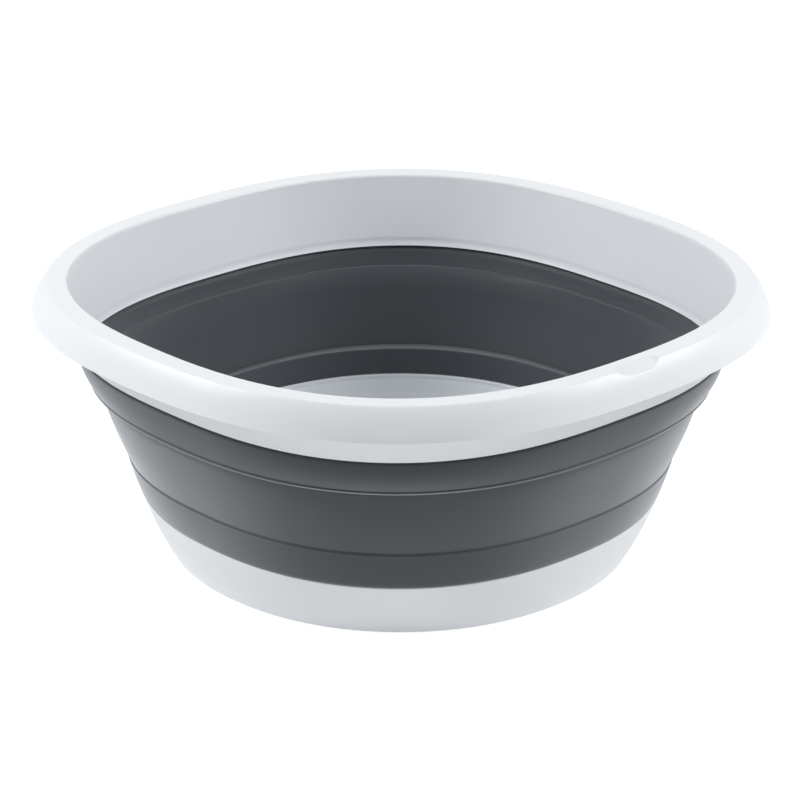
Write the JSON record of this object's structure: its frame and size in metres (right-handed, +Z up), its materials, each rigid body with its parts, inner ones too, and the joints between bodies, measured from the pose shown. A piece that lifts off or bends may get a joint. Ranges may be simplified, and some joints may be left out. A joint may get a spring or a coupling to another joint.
{
  "type": "collapsible wash basin",
  "caption": "Rounded-square wash basin with a stiff rim and a stiff base cup joined by a soft wall that folds down flat.",
  "frame": {"origin": "middle of the foot, on the surface that the basin stands on", "axes": "+Z up along the basin's axis, X and Y across the flats of the rounded square, with the oval recess in the rim at -Y"},
  "size_m": [0.38, 0.38, 0.155],
  "materials": {
    "white_plastic": "satin",
    "grey_rubber": "satin"
  },
  "bodies": {
    "base": {"base_cup": "white_plastic", "lower_band": "grey_rubber", "fold_panel": "grey_rubber"},
    "rim": {"upper_band": "grey_rubber", "rim_frame": "white_plastic"}
  },
  "joints": [
    {"name": "fold", "type": "slide", "parent": "base", "child": "rim", "axis": [0, 0, -1], "range_m": [0, 0.0804], "deforming": ["fold_panel"]}
  ]
}
